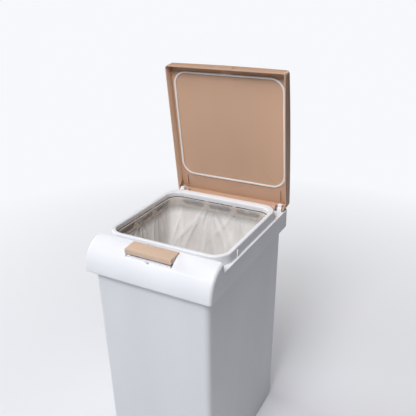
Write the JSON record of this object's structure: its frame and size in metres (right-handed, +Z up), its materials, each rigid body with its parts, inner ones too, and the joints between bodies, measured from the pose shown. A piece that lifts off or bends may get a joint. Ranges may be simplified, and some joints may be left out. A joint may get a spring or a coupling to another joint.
{
  "type": "waste bin",
  "caption": "Tall tapered waste bin with a push-button latch, a sprung gasketed lid standing open, a bag ring round the mouth and a clear liner.",
  "frame": {"origin": "middle of the base, on the floor", "axes": "+Z up; -Y towards the front with the push button; +X to the right seen from the front"},
  "size_m": [0.3, 0.4152, 0.8979],
  "materials": {
    "white_body": "fine satin moulded polypropylene",
    "white_frame": "semi-gloss moulded polypropylene",
    "beige_lid": "satin moulded polypropylene",
    "beige_ring": "satin moulded polypropylene",
    "gasket": "soft white elastomer",
    "liner_film": "clear thin polyethylene film",
    "steel": "bright drawn wire and pin",
    "latch_plastic": "natural acetal"
  },
  "bodies": {
    "bin": {"bin_body": "white_body", "top_frame": "white_frame", "bag_ring": "beige_ring", "bin_liner": "liner_film", "hinge_pin_left": "steel", "hinge_pin_right": "steel", "lid_spring_left": "steel", "lid_spring_right": "steel", "button_spring_left": "steel", "button_spring_right": "steel", "latch_spring": "steel", "latch_cover": "white_frame", "latch_screws": "steel"},
    "lid": {"lid_cover": "beige_lid", "lid_inner_panel": "beige_lid", "lid_gasket": "gasket"},
    "button": {"push_button": "beige_lid"},
    "latch": {"latch_slide": "latch_plastic"}
  },
  "joints": [
    {"name": "lid_hinge", "type": "hinge", "parent": "bin", "child": "lid", "pos_m": [0, 0.181, 0.566], "axis": [1, 0, 0], "range_deg": [0, 82.8], "stiffness_Nm_per_rad": 0.5, "springref_deg": -34.38},
    {"name": "button_press", "type": "slide", "parent": "bin", "child": "button", "axis": [0, 0, -1], "range_m": [0, 0.004], "stiffness_N_per_m": 400, "springref_m": -0.003, "deforming": ["button_spring_left", "button_spring_right"]},
    {"name": "latch_travel", "type": "slide", "parent": "bin", "child": "latch", "axis": [0, -1, 0], "range_m": [0, 0.004], "stiffness_N_per_m": 300, "springref_m": -0.002, "deforming": ["latch_spring"]}
  ],
  "couplings": [
    {"joint": "latch_travel", "follows": "button_press", "ratio": 1}
  ]
}
